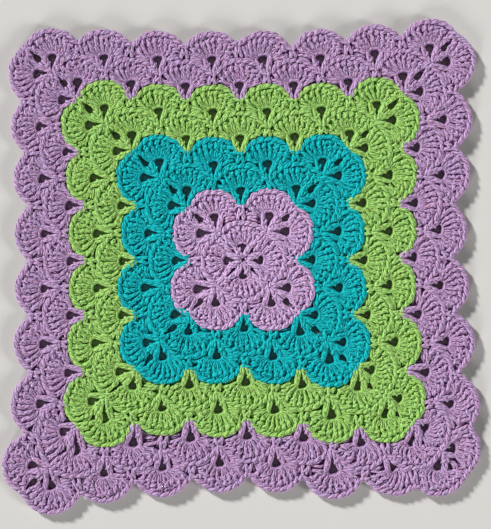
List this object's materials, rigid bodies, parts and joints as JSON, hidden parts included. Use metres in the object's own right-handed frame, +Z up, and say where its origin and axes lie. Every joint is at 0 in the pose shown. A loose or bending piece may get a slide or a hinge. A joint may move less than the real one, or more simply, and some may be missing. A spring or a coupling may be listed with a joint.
{
  "type": "granny square blanket",
  "caption": "Small crocheted granny square blanket in shell stitch, with bands of colour round a middle medallion, open eyes and a scalloped edge, lying flat.",
  "frame": {"origin": "middle of the underside, on the surface that the blanket lies on", "axes": "+Z up through the cloth's thickness, +Y towards the top edge as pictured, +X to the right"},
  "size_m": [0.2874, 0.298, 0.0046],
  "materials": {
    "lilac_yarn": "soft twisted yarn, matt with a faint sheen",
    "teal_yarn": "soft twisted yarn, matt with a faint sheen",
    "lime_yarn": "soft twisted yarn, matt with a faint sheen"
  },
  "bodies": {
    "root": {"blanket": "lilac_yarn"}
  },
  "joints": []
}
